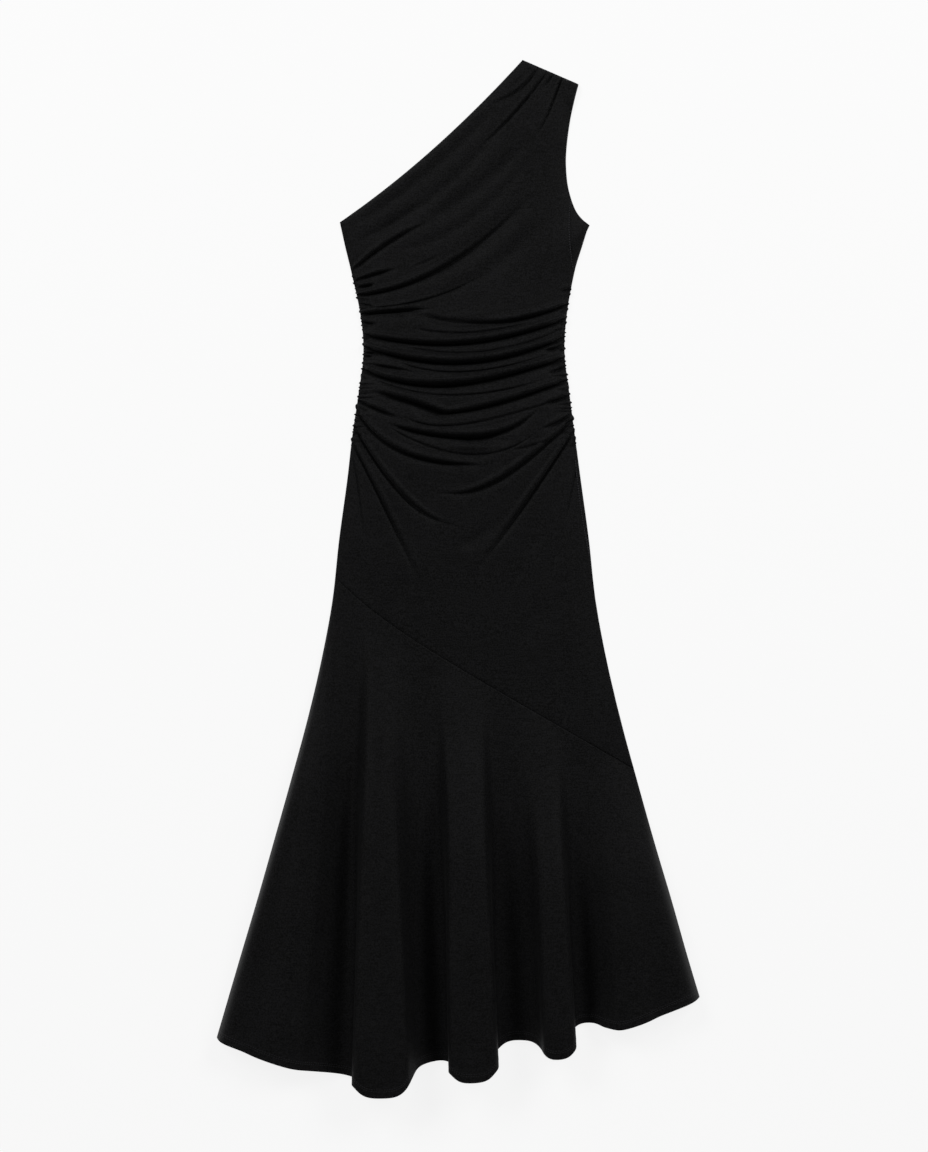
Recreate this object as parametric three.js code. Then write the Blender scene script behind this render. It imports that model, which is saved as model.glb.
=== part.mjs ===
// A one-shoulder jersey dress, laid flat on its back: a draped upper panel that is ruched into both side seams, and a
// flared lower panel (the flounce) below a slanting seam, each with a back panel under it.
// Millimetres. +X is to the right of the laid dress, +Y points towards its shoulder, +Z is up off the surface.
// The origin is the middle of its outline, on the surface that it lies on.
import * as THREE from "three";

const { lerp, smoothstep, clamp } = THREE.MathUtils;

// Driving sizes
const CLOTH = 1.2; // wall of one layer of heavy jersey
const SEAM_GAP = 0.3; // between pieces, at a seam and where one lies on the other
const MOST_STRETCH = 1.7; // of the wall's upright thickness, where the cloth is steep
const SLANT_GAP = 1.2 * SEAM_GAP; // the same gap across the slanting seam, measured straight down the dress
const FRONT_EDGE = 2 * CLOTH + SEAM_GAP; // height of the front's outer face where it meets the back at an edge
const LEFT_UNDERARM_Y = 480;
const SHOULDER_INNER = { x: 87, y: 700 };
const SHOULDER_OUTER = { x: 163, y: 667 };
const RIGHT_UNDERARM_Y = 476;

// The side edges, from the underarm through the waist and the hip to the hem's corners.
const SIDES = [
  { y: 480, left: -161, right: 178 },
  { y: 448, left: -154, right: 168 },
  { y: 415, left: -146, right: 158 },
  { y: 354, left: -133, right: 147 },
  { y: 303, left: -129, right: 144 },
  { y: 252, left: -135, right: 150 },
  { y: 191, left: -144, right: 158 },
  { y: 130, left: -151, right: 166 },
  { y: 49, left: -162, right: 177 },
  { y: -33, left: -171, right: 186 },
  { y: -114, left: -186, right: 201 },
  { y: -195, left: -205, right: 220 },
  { y: -276, left: -227, right: 242 },
  { y: -358, left: -250, right: 265 },
  { y: -439, left: -273, right: 289 },
  { y: -520, left: -297, right: 312 },
  { y: -626, left: -328, right: 344 },
];

// The armhole, from the shoulder down to the right underarm.
const ARMHOLE = [
  { y: 667, x: 163 },
  { y: 648, x: 158 },
  { y: 615, x: 151 },
  { y: 571, x: 146 },
  { y: 540, x: 147 },
  { y: 518, x: 151 },
  { y: 496, x: 159 },
  { y: 484, x: 168 },
  { y: 476, x: 177 },
];

// Lines across the upper panels, from the neckline to the slanting seam, along the way that the cloth drapes.
// left and right are heights on the edges, sag is how far the line hangs under its chord, low is the share of the
// width at which it hangs lowest, rise is how far the front stands off its edges there, and strips is the number of
// grid strips down to the next line.
const DRAPE_LINES = [
  { left: 480, right: 700, sag: 13, low: 0.5, rise: 1.5, strips: 3 },
  { left: 452, right: 683, sag: 17, low: 0.5, rise: 5, strips: 3 },
  { left: 420, right: 667, sag: 24, low: 0.5, rise: 7, strips: 3 },
  { left: 396, right: 615, sag: 32, low: 0.5, rise: 8, strips: 3 },
  { left: 380, right: 560, sag: 38, low: 0.5, rise: 9, strips: 3 },
  { left: 370, right: 510, sag: 38, low: 0.5, rise: 10, strips: 3 },
  { left: 362, right: 476, sag: 36, low: 0.5, rise: 11, strips: 3 },
  { left: 357, right: 420, sag: 26, low: 0.5, rise: 12, strips: 4 },
  { left: 352, right: 371, sag: 17, low: 0.5, rise: 13, strips: 5 },
  { left: 328, right: 350, sag: 26, low: 0.5, rise: 13, strips: 5 },
  { left: 310, right: 322, sag: 29, low: 0.5, rise: 13, strips: 5 },
  { left: 280, right: 296, sag: 30, low: 0.5, rise: 13, strips: 5 },
  { left: 256, right: 269, sag: 37, low: 0.45, rise: 13, strips: 5 },
  { left: 238, right: 241, sag: 52, low: 0.5, rise: 13, strips: 5 },
  { left: 226, right: 229, sag: 80, low: 0.5, rise: 13, strips: 5 },
  { left: 212, right: 212, sag: 102, low: 0.5, rise: 13, strips: 4 },
  { left: 195, right: 190, sag: 125, low: 0.5, rise: 12, strips: 4 },
  { left: 150, right: 100, sag: 118, low: 0.5, rise: 11, strips: 3 },
  { left: 100, right: 0, sag: 90, low: 0.45, rise: 10, strips: 3 },
  { left: 50, right: -130, sag: 55, low: 0.4, rise: 9, strips: 3 },
  { left: -1, right: -262, sag: 16.5, low: 0.28, rise: 8, strips: 0 },
];
const RUCHED_FROM = 4; // the drape lines between which both sides are gathered
const RUCHED_TO = 16;
const GATHER_DEPTH = 0.8; // of the small gathers at a side seam
const GATHER_REACH = 0.1; // share of the width that they cross
const LEAST_RISE = 0.35; // what a trough leaves of the front's rise, so that the cloth stays off the back
const FOLD_FADE = 0.12; // share of the width over which folds grow in from a side seam

// The folds of the front's upper panel. Each runs from its left end to its right end, hangs under its chord by sag,
// lowest at low, and is depth deep and width wide. fade0 and fade1 are the shares of its length over which it dies
// out at its left and right ends.
const FOLD_COLUMNS = ["x0", "y0", "x1", "y1", "sag", "low", "depth", "width", "fade0", "fade1"];
const tableOf = (columns, rows) =>
  rows.map((row) => Object.fromEntries(columns.map((name, i) => [name, row[i]])));
const RELIEF = 1.3; // the front folds' depth, as a share of the table's
const FRONT_FOLDS = tableOf(FOLD_COLUMNS, [
  // pleats that fan out of the shoulder seam
  [37, 637, 106, 689, 11, 0.5, 2.2, 6, 0.7, 0],
  [22, 571, 118, 680, 8, 0.5, 2.8, 7, 0.7, 0],
  [29, 516, 138, 675, 34, 0.6, 2.6, 7, 0.7, 0],
  // folds from the left side seam across the bust
  [-142, 415, -30, 480, -9, 0.5, 3.6, 8, 0, 0.6],
  [-138, 401, -83, 415, -2, 0.5, 2.6, 7, 0, 0.5],
  [-135, 380, 113, 530, 34, 0.55, 4.4, 11, 0, 0.6],
  [-125, 364, 41, 410, 14, 0.5, 2, 6, 0.3, 0.5],
  // ruched folds across the waist
  [-131, 354, -28, 356, -2, 0.5, 4.2, 8, 0, 0.35],
  [-67, 354, 150, 370, 19, 0.55, 4, 9, 0.6, 0],
  [-129, 328, 148, 350, 26, 0.5, 5, 9, 0, 0],
  [-126, 310, 142, 322, 29, 0.5, 5.2, 9, 0, 0],
  [-126, 280, 144, 296, 30, 0.45, 5, 10, 0, 0],
  [-118, 252, 146, 269, 34, 0.4, 5.4, 10, 0.1, 0],
  [-134, 237, -81, 212, 0, 0.5, 3.4, 8, 0, 0.5],
  [-96, 205, 114, 230, 32, 0.6, 5, 10, 0.15, 0.2],
  // cups and drag lines over the hip
  [-133, 227, 45, 148, 33, 0.42, 4, 10, 0, 0.3],
  [-37, 117, 155, 218, 35, 0.38, 4.4, 10, 0.3, 0],
  [-138, 201, 0, 68, 30, 0.6, 3.4, 9, 0, 0.4],
  [-141, 178, -37, -45, -6, 0.5, 3, 9, 0, 0.5],
  [15, -7, 153, 195, 7, 0.5, 4, 9, 0.5, 0],
]);

// The back's grooves, which lie off the surface between the stretches that rest on it.
const BACK_FOLDS = tableOf(FOLD_COLUMNS, [
  [-125, 372, 20, 440, 16, 0.5, 1.4, 10, 0.1, 0.5],
  [-130, 340, 146, 356, 18, 0.5, 1.8, 10, 0.1, 0.1],
  [-128, 318, 60, 306, 14, 0.5, 1.5, 9, 0.1, 0.3],
  [-40, 284, 143, 312, 14, 0.5, 1.6, 9, 0.3, 0.1],
  [-126, 290, 144, 290, 26, 0.45, 2, 10, 0.1, 0.1],
  [-130, 262, 147, 258, 28, 0.55, 2, 10, 0.1, 0.1],
  [-134, 240, 30, 198, 14, 0.5, 1.7, 10, 0.1, 0.4],
  [-20, 182, 150, 226, 22, 0.4, 1.8, 10, 0.3, 0.1],
  [-136, 222, 60, 122, 24, 0.5, 1.8, 11, 0.1, 0.4],
]);
const BACK_GROOVE = 0.25; // the most that a groove may be, as a share of the front's rise over it
const REST_CUT = 0.3; // taken off the back's grooves, so that they end on the surface

// The flounce's waves at the hem, from left to right. Each crest or trough reaches from (x0, y0) to (x1, y1) on the
// hem and springs from seam0 to seam1 on the slanting seam. Its height is z at the share low of the way across, and
// its two ends are lift0 and lift1 higher. The hem hangs bow lower between its ends. roll is how far the cloth turns
// over on the side that goes on to the next one.
const FLUTE_COLUMNS = ["seam0", "seam1", "x0", "y0", "x1", "y1", "bow", "z", "low", "lift0", "lift1", "roll"];
const FLUTES = tableOf(FLUTE_COLUMNS, [
  [-167, -167, -328, -626, -328, -626, 0, FRONT_EDGE, 0.5, 0, 0, 0], // left corner
  [-162, -157, -288, -641, -212, -666, 2, 38, 0.5, -5, -4, 0],
  [-148, -130, -196, -669, -147, -677, 0, 3.4, 0.8, 28, 6, 40],
  [-121, -98, -143, -684, -70, -684, 16, 56, 0.4, -3, -4, 0],
  [-78, -32, -56, -664, -11, -659, -4, 3.4, 0.78, 36, 7, 44],
  [-20, 30, -10, -667, 50, -664, 13, 56, 0.5, -3, -3, 44],
  [40, 84, 54, -641, 108, -637, -10, 3.4, 0.25, 7, 36, 0],
  [98, 132, 114, -642, 155, -638, 8, 52, 0.6, -6, -3, 40],
  [143, 176, 157, -612, 188, -609, -5, 3.4, 0.3, 7, 26, 0],
  [192, 214, 212, -613, 268, -594, 2, 38, 0.5, -4, -5, 0],
  [238, 238, 328, -571, 328, -571, 0, FRONT_EDGE, 0.5, 0, 0, 0], // right corner
]);
const FULL_HEIGHT = 0.7; // share of the way down the flounce at which its waves reach their full height
const ROLL_LATE = 1.15; // the power of that share by which the roll grows
const TROUGH_CURVE = 1.3; // 1 would be a trough with straight sides
const EDGE_CLIMB = 3; // how steeply the flounce rises off the back at its side edges
const BEND_TO = 3; // the wave, from the left, up to which the rays bend with the left edge
const BEND_FROM = 7; // the wave from which they bend with the right edge

// Shallow ripples of the back's flounce, which stand in the hollows of the front's crests.
const BACK_RIPPLES = tableOf(FOLD_COLUMNS, [
  [-112, -640, -106, -200, 0, 0.5, 8, 18, 0, 0.6],
  [14, -620, 20, -260, 0, 0.5, 8, 15, 0, 0.6],
  [128, -610, 136, -320, 0, 0.5, 6, 12, 0, 0.6],
]);
// The back's hem, in steps from the left corner to the right one.
const BACK_HEM = tableOf(["y", "x", "hem"], [
  [0, -328, -626],
  [1, -240, -650],
  [2, -140, -658],
  [3, -20, -645],
  [4, 80, -618],
  [5, 190, -598],
  [6, 328, -571],
]);

const UPPER_COLUMNS = 22;
const COLUMN_CROWD = 0.06; // how much closer the front's columns stand towards its edges
const BACK_COLUMNS = 16;
const BACK_ROWS_KEPT = 0.4; // share of the front's rows that the back has
const CREST_STRIPS = 5;
const SIDE_STRIPS = 3;
const FLOUNCE_ROWS = 10;
const BACK_FLOUNCE_ROWS = 8;

// A column of a table at y, on a smooth curve through its rows.
function curveThrough(rows, y, column) {
  const step = Math.sign(rows[1].y - rows[0].y);
  const passed = rows.findIndex((row) => step * (row.y - y) >= 0);
  const k = passed < 0 ? rows.length - 1 : Math.max(passed, 1);
  const slope = (i) => {
    const before = rows[Math.max(i - 1, 0)];
    const after = rows[Math.min(i + 1, rows.length - 1)];
    return (after[column] - before[column]) / (after.y - before.y);
  };
  const span = rows[k].y - rows[k - 1].y;
  const t = clamp((y - rows[k - 1].y) / span, 0, 1);
  const u = 1 - t;
  return (
    rows[k - 1][column] * (1 + 2 * t) * u * u +
    rows[k][column] * (1 + 2 * u) * t * t +
    span * t * u * (slope(k - 1) * u - slope(k) * t)
  );
}

const leftEdge = (y) => curveThrough(SIDES, y, "left");

function rightEdge(y) {
  if (y >= SHOULDER_OUTER.y) {
    const share = (SHOULDER_INNER.y - y) / (SHOULDER_INNER.y - SHOULDER_OUTER.y);
    return lerp(SHOULDER_INNER.x, SHOULDER_OUTER.x, share);
  }
  if (y >= RIGHT_UNDERARM_Y) return curveThrough(ARMHOLE, y, "x");
  return curveThrough(SIDES, y, "right");
}

// How far a hanging line has dropped at share u of its length: 0 at both ends and 1 at its lowest.
function hang(u, low) {
  const inside = clamp(u, 0, 1);
  const warped = (inside * (1 - low)) / (inside * (1 - 2 * low) + low);
  return 4 * warped * (1 - warped);
}

// A fold as a short chain of straight steps, with its own box.
const FOLD_STEPS = 14;
function traced(fold) {
  const points = [];
  for (let i = 0; i <= FOLD_STEPS; i++) {
    const t = i / FOLD_STEPS;
    points.push({
      x: lerp(fold.x0, fold.x1, t),
      y: lerp(fold.y0, fold.y1, t) - fold.sag * hang(t, fold.low),
    });
  }
  return { ...fold, points };
}

// The nearest place on a fold: its share along the fold, and the distance, which is negative above the fold.
function nearestOn(fold, x, y) {
  let best = { distance: Infinity, share: 0 };
  for (let i = 0; i < FOLD_STEPS; i++) {
    const a = fold.points[i];
    const b = fold.points[i + 1];
    const along = { x: b.x - a.x, y: b.y - a.y };
    const away = { x: x - a.x, y: y - a.y };
    const t = clamp((away.x * along.x + away.y * along.y) / (along.x ** 2 + along.y ** 2), 0, 1);
    const distance = Math.hypot(away.x - t * along.x, away.y - t * along.y);
    if (distance < Math.abs(best.distance)) {
      const above = along.x * away.y - along.y * away.x > 0;
      best = { distance: above ? -distance : distance, share: (i + t) / FOLD_STEPS };
    }
  }
  return best;
}

const strengthAt = (fold, share) =>
  (fold.fade0 ? smoothstep(share, 0, fold.fade0) : 1) *
  (fold.fade1 ? 1 - smoothstep(share, 1 - fold.fade1, 1) : 1);

const bell = (t, spread) => Math.exp(-((t / spread) ** 2));

// A draped fold in section: a ridge, a trough under it, and a soft shoulder below.
const drapedSection = (t) => 0.75 * bell(t + 0.9, 0.48) - bell(t, 0.42) + 0.2 * bell(t - 0.95, 0.6);

// A groove of the back in section.
const grooveSection = (t) => bell(t, 0.5);

const foldedBy = (folds, section, x, y) =>
  folds.reduce((sum, fold) => {
    const near = nearestOn(fold, x, y);
    return sum + fold.depth * strengthAt(fold, near.share) * section(near.distance / fold.width);
  }, 0);

const FRONT_TRACED = FRONT_FOLDS.map(traced);
const BACK_TRACED = BACK_FOLDS.map(traced);
const RIPPLES_TRACED = BACK_RIPPLES.map(traced);

// The drape line at row v, where v counts the lines and may lie between two of them.
function drapeLine(v) {
  const k = Math.min(Math.floor(v), DRAPE_LINES.length - 2);
  const mixed = (name) => lerp(DRAPE_LINES[k][name], DRAPE_LINES[k + 1][name], v - k);
  return Object.fromEntries(["left", "right", "sag", "low", "rise"].map((name) => [name, mixed(name)]));
}

// The rows of an upper panel's grid: every drape line, with its strips thinned by the share kept.
function drapeRows(kept) {
  const rows = [];
  DRAPE_LINES.forEach((line, k) => {
    const strips = Math.max(1, Math.round(line.strips * kept));
    for (let i = 0; i < strips && k < DRAPE_LINES.length - 1; i++) rows.push(k + i / strips);
  });
  rows.push(DRAPE_LINES.length - 1);
  return rows;
}

// The columns, closer together towards the edges.
const columnShare = (i, count) => i / count - COLUMN_CROWD * Math.sin((2 * Math.PI * i) / count);

const edgeRound = (u) => 1 - Math.abs(2 * u - 1) ** 4;

// A small gather pulls every second row in at the sides.
function gatherAt(u, v, row) {
  const ruched = v > RUCHED_FROM && v < RUCHED_TO ? 1 : 0;
  const near = Math.max(0, 1 - Math.min(u, 1 - u) / GATHER_REACH);
  return ruched * near * (row % 2 ? -1 : 1) * GATHER_DEPTH;
}

function upperPlace(u, v) {
  const line = drapeLine(v);
  const x = lerp(leftEdge(line.left), rightEdge(line.right), u);
  const atSeam = v >= DRAPE_LINES.length - 1 ? SLANT_GAP / 2 : 0;
  const y = lerp(line.left, line.right, u) - line.sag * hang(u, line.low) + atSeam;
  return { x, y, rise: line.rise * edgeRound(u) };
}

function frontUpperTop(u, v, row) {
  const place = upperPlace(u, v);
  const atEdge = smoothstep(Math.min(u, 1 - u), -0.4 * FOLD_FADE, FOLD_FADE);
  const folds = atEdge * RELIEF * foldedBy(FRONT_TRACED, drapedSection, place.x, place.y);
  const gather = gatherAt(u, v, row);
  const lift = Math.max(place.rise + folds, LEAST_RISE * place.rise) + Math.max(0, gather);
  const side = u < 0.5 ? 1 : -1;
  return new THREE.Vector3(place.x - side * Math.min(0, gather), place.y, FRONT_EDGE + lift);
}

function backUpperBottom(u, v) {
  const place = upperPlace(u, v);
  const groove = foldedBy(BACK_TRACED, grooveSection, place.x, place.y);
  return new THREE.Vector3(place.x, place.y, clamp(groove - REST_CUT, 0, BACK_GROOVE * place.rise));
}

// The slanting seam at x.
function seamY(x) {
  const seam = DRAPE_LINES[DRAPE_LINES.length - 1];
  const x0 = leftEdge(seam.left);
  const u = (x - x0) / (rightEdge(seam.right) - x0);
  return lerp(seam.left, seam.right, clamp(u, 0, 1)) - seam.sag * hang(u, seam.low) - SLANT_GAP / 2;
}

function seamRise(x) {
  const seam = DRAPE_LINES[DRAPE_LINES.length - 1];
  const x0 = leftEdge(seam.left);
  const u = clamp((x - x0) / (rightEdge(seam.right) - x0), 0, 1);
  return seam.rise * edgeRound(u);
}

// The hem's height at share s of the way across a crest or trough.
function waveHeight(flute, s) {
  const fromLow = s < flute.low ? 1 - s / flute.low : (s - flute.low) / (1 - flute.low);
  return flute.z + (s < flute.low ? flute.lift0 : flute.lift1) * fromLow ** TROUGH_CURVE;
}

// The hem as a run of stations: across each crest or trough, then down or up its side to the next. The stretches
// next to the two corners rise steeply off the back and then level out.
function hemStations() {
  const stations = [];
  FLUTES.forEach((flute, k) => {
    const across = k > 0 && k < FLUTES.length - 1 ? CREST_STRIPS : 0;
    for (let i = 0; i < across; i++) {
      const s = i / across;
      stations.push({
        seam: lerp(flute.seam0, flute.seam1, s),
        x: lerp(flute.x0, flute.x1, s),
        y: lerp(flute.y0, flute.y1, s) - flute.bow * edgeRound(s),
        z: waveHeight(flute, s),
        roll: 0,
      });
    }
    const next = FLUTES[k + 1];
    const outer = k === 0 || k === FLUTES.length - 2;
    const strips = outer ? 2 * SIDE_STRIPS : SIDE_STRIPS;
    for (let i = 0; next && i < strips; i++) {
      const s = i / strips;
      const climb = k === 0 ? 1 - (1 - s) ** EDGE_CLIMB : outer ? s ** EDGE_CLIMB : s;
      stations.push({
        seam: lerp(flute.seam1, next.seam0, s),
        x: lerp(flute.x1, next.x0, s),
        y: lerp(flute.y1, next.y0, s),
        z: lerp(waveHeight(flute, 1), waveHeight(next, 0), climb),
        roll: flute.roll * s * (1 - s) * (1 - 2 * s),
      });
    }
  });
  const last = FLUTES[FLUTES.length - 1];
  stations.push({ seam: last.seam1, x: last.x1, y: last.y1, z: last.z, roll: 0 });
  return stations;
}

// How far the side edge bends away from a straight line, at share t of the way from the seam to the hem's corner.
function sideBend(side, t) {
  const corner = side === "left" ? FLUTES[0] : FLUTES[FLUTES.length - 1];
  const y = lerp(seamY(corner.seam0), corner.y0, t);
  return t === 0 ? 0 : curveThrough(SIDES, y, side) - lerp(corner.seam0, corner.x0, t);
}

// A ray of the flounce at share t of the way from the seam to the hem. Near a side edge it bends with that edge.
function flounceTop(station, t) {
  const y = lerp(seamY(station.seam), station.y, t);
  const leftEnd = FLUTES[BEND_TO].x0;
  const rightStart = FLUTES[BEND_FROM].x1;
  const left = clamp((leftEnd - station.x) / (leftEnd - FLUTES[0].x0), 0, 1);
  const right = clamp((station.x - rightStart) / (FLUTES[FLUTES.length - 1].x0 - rightStart), 0, 1);
  const bend = left * sideBend("left", t) + right * sideBend("right", t);
  const x = lerp(station.seam, station.x, t) + station.roll * t ** ROLL_LATE + bend;
  const seamZ = FRONT_EDGE + seamRise(station.seam);
  return new THREE.Vector3(x, y, lerp(seamZ, station.z, smoothstep(t, 0, FULL_HEIGHT)));
}

function backHemY(x) {
  const k = clamp(BACK_HEM.findIndex((p) => p.x >= x), 1, BACK_HEM.length - 1);
  const share = (x - BACK_HEM[k - 1].x) / (BACK_HEM[k].x - BACK_HEM[k - 1].x);
  return curveThrough(BACK_HEM, k - 1 + clamp(share, 0, 1), "hem");
}

function backFlounceBottom(u, t) {
  const last = FLUTES[FLUTES.length - 1];
  const hemX = lerp(FLUTES[0].x0, last.x0, u);
  const seamX = lerp(FLUTES[0].seam0, last.seam0, u);
  const bend = Math.max(0, 1 - 2 * u) * sideBend("left", t) + Math.max(0, 2 * u - 1) * sideBend("right", t);
  const x = lerp(seamX, hemX, t) + bend;
  const y = lerp(seamY(seamX), backHemY(hemX), t);
  const ripple = foldedBy(RIPPLES_TRACED, grooveSection, x, y);
  return new THREE.Vector3(x, y, Math.max(0, ripple - REST_CUT));
}

// A grid of points as rows, top row first, each from left to right.
const gridOf = (rows, columns, pointAt) =>
  rows.map((v, j) => columns.map((u) => pointAt(u, v, j)));

// The unit normals of a grid, which point up.
function normalsOf(grid) {
  return grid.map((row, j) =>
    row.map((_, i) => {
      const across = new THREE.Vector3().subVectors(
        row[Math.min(i + 1, row.length - 1)],
        row[Math.max(i - 1, 0)],
      );
      const down = new THREE.Vector3().subVectors(
        grid[Math.min(j + 1, grid.length - 1)][i],
        grid[Math.max(j - 1, 0)][i],
      );
      return down.cross(across).normalize();
    }),
  );
}

// The other face of a wall whose cloth is thick, straight below a grid. Steep stretches are set further apart.
function facedDown(grid, thick) {
  const normals = normalsOf(grid);
  return grid.map((row, j) =>
    row.map((p, i) => {
      const stretch = normals[j][i].z > 0 ? Math.min(1 / normals[j][i].z, MOST_STRETCH) : MOST_STRETCH;
      return new THREE.Vector3(p.x, p.y, p.z - thick * stretch);
    }),
  );
}

// The other face of a wall that turns over, square to the cloth, and straight below along its seam.
function facedInside(grid, thick) {
  const normals = normalsOf(grid);
  return grid.map((row, j) =>
    row.map((p, i) => {
      const edge = j === 0 || i === 0 || i === row.length - 1;
      const n = edge ? new THREE.Vector3(0, 0, 1) : normals[j][i];
      return p.clone().addScaledVector(n, -thick);
    }),
  );
}

const raised = (grid, height) =>
  grid.map((row) => row.map((p) => new THREE.Vector3(p.x, p.y, p.z + height)));

// A closed wall between an upper and a lower grid of the same size.
function wall(upper, lower) {
  const down = upper.length;
  const across = upper[0].length;
  const positions = [];
  for (const grid of [upper, lower]) {
    for (const row of grid) for (const p of row) positions.push(p.x, p.y, p.z);
  }
  const at = (j, i, under) => (under ? down * across : 0) + j * across + i;
  const faces = [];
  const quad = (a, b, c, d) => faces.push(a, b, c, a, c, d);
  for (let j = 0; j < down - 1; j++) {
    for (let i = 0; i < across - 1; i++) {
      quad(at(j, i), at(j + 1, i), at(j + 1, i + 1), at(j, i + 1));
      quad(at(j, i, true), at(j, i + 1, true), at(j + 1, i + 1, true), at(j + 1, i, true));
    }
    const right = across - 1;
    quad(at(j, 0), at(j, 0, true), at(j + 1, 0, true), at(j + 1, 0));
    quad(at(j + 1, right), at(j + 1, right, true), at(j, right, true), at(j, right));
  }
  for (let i = 0; i < across - 1; i++) {
    const low = down - 1;
    quad(at(0, i + 1), at(0, i + 1, true), at(0, i, true), at(0, i));
    quad(at(low, i), at(low, i, true), at(low, i + 1, true), at(low, i + 1));
  }
  const geometry = new THREE.BufferGeometry();
  geometry.setAttribute("position", new THREE.Float32BufferAttribute(positions, 3));
  geometry.setIndex(faces);
  geometry.computeVertexNormals();
  return geometry;
}

const evenly = (count) => Array.from({ length: count + 1 }, (_, i) => i / count);

function frontUpper() {
  const columns = evenly(UPPER_COLUMNS).map((_, i) => columnShare(i, UPPER_COLUMNS));
  const top = gridOf(drapeRows(1), columns, frontUpperTop);
  return wall(top, facedDown(top, CLOTH));
}

function backUpper() {
  const bottom = gridOf(drapeRows(BACK_ROWS_KEPT), evenly(BACK_COLUMNS), backUpperBottom);
  return wall(raised(bottom, CLOTH), bottom);
}

function frontFlounce() {
  const top = gridOf(evenly(FLOUNCE_ROWS), hemStations(), flounceTop);
  return wall(top, facedInside(top, CLOTH));
}

function backFlounce() {
  const bottom = gridOf(evenly(BACK_FLOUNCE_ROWS), evenly(BACK_COLUMNS), backFlounceBottom);
  return wall(raised(bottom, CLOTH), bottom);
}

const jersey = () => new THREE.MeshStandardMaterial({ color: 0x141416, roughness: 0.85, metalness: 0 });

function piece(name, geometry) {
  const mesh = new THREE.Mesh(geometry, jersey());
  mesh.name = name;
  return mesh;
}

const dress = new THREE.Group();
dress.add(
  piece("front_upper", frontUpper()),
  piece("back_upper", backUpper()),
  piece("front_flounce", frontFlounce()),
  piece("back_flounce", backFlounce()),
);

export default dress;
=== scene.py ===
import math

import bmesh
import bpy
import numpy as np
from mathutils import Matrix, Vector


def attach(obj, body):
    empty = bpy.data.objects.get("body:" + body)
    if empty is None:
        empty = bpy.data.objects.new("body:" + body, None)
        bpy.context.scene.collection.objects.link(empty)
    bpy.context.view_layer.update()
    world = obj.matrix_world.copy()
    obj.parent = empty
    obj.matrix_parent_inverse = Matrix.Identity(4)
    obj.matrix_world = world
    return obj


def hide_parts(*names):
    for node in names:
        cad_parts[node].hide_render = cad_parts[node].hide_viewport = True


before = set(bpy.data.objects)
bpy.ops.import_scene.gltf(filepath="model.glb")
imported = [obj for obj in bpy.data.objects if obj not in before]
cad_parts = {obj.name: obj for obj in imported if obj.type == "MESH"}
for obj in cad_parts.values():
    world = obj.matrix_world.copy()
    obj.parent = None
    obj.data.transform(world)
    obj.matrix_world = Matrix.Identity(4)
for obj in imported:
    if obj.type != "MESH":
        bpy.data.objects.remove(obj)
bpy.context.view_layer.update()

# A one-shoulder jersey dress laid flat on its back. Sizes are in millimetres.
MM = 0.001  # in metres, to which each mesh is turned as it is made

# Driving sizes
CLOTH = 1.0  # one layer as it is shown
CAD_CLOTH = 1.2
SEAM_GAP = 0.3
FRONT_EDGE = 2 * CAD_CLOTH + SEAM_GAP  # height of the front's outer face at an edge
EDGE_ROLL = 5.0  # how far in from an edge the cloth rolls down to it
EDGE_DROP = 1.1
EDGE_CURL = 0.6  # how much more it drops, as a share of its height there
SEAM_ROLL = 1.6  # how far from the slanting seam the two panels roll down to it, which leaves a fine groove
SEAM_DROP = 1.1
SEAM_SLANT = 0.84  # a distance across the slanting seam, as a share of the same distance along y
NECK_SLANT = 0.8  # the same across the neckline
SHOULDER_RISE = 5.0  # how far the front stands off the back at the shoulder seam, so that the pleats reach it
SHOULDER_CATCH = (620.0, 650.0)  # the heights between which it comes to stand so
HEM_STITCHES = (9.0, 11.6)  # from the hem's edge
STITCH = 2.6
STITCH_PITCH = 3.4
STITCH_THICK = 0.5
STITCH_LONG = 1.1  # a stitch's length as it is drawn, as a share of its span
STITCH_WIDE = 1.6  # its width, as a share of its thickness
SEAM_BEAD = 1.3  # the side seam edge's thickness
BEAD_LONG = 1.6  # its short beads' length, as a share of their span, so that they run into each other
BEAD_LIFT = 0.1  # how far their middle stands over the cloth

# The photograph's frame: the height it covers, and where its middle is on the dress
PHOTO_COVERS = 1562.8
PHOTO_MIDDLE = (7.5, 0.0)
LENS = 85
SENSOR = 36

# The studio, in metres and watts
CAMERA_SEES = 20.0
FLOOR_REACH = 6.0
WORLD_STRENGTH = 0.17
SOFTBOX_PLACE = (2.8, 2.65, 3.0)
SOFTBOX_AIM = (0.0, 0.1, 0.0)
SOFTBOX_SIZE = (2.4, 1.6)
SOFTBOX_POWER = 83

# The small gathers at the side seams
RUCHED_FROM = 168.0
RUCHED_TO = {-1: 415.0, 1: 400.0}  # on the left and on the right
RUCHED_FADE = 14.0  # the stretch over which they begin and end
GATHER_REACH = 0.085  # how far in they reach, as a share of the width
GATHER_FADE = 1.5  # how fast they die out on the way in
GATHER_HEIGHT = 2.0
GATHER_LEAST = -0.4  # how low they may go
GATHER_ASIDE = 0.9  # how far they push the edge out, as a share of their height
# Their waves along the seam and the wavering of those waves: height, radians a millimetre, and shift
GATHER_WAVES = ((0.6, 0.86, 0.0), (0.4, 0.53, 1.3), (0.25, 1.6, 0.0))
GATHER_WAVER = ((2.5, 0.13, 1.0), (1.4, 0.31, -1.0))


def table_of(columns, rows):
    """A table with named columns, each an array."""
    return {name: np.array([row[i] for row in rows], float) for i, name in enumerate(columns.split())}


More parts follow.
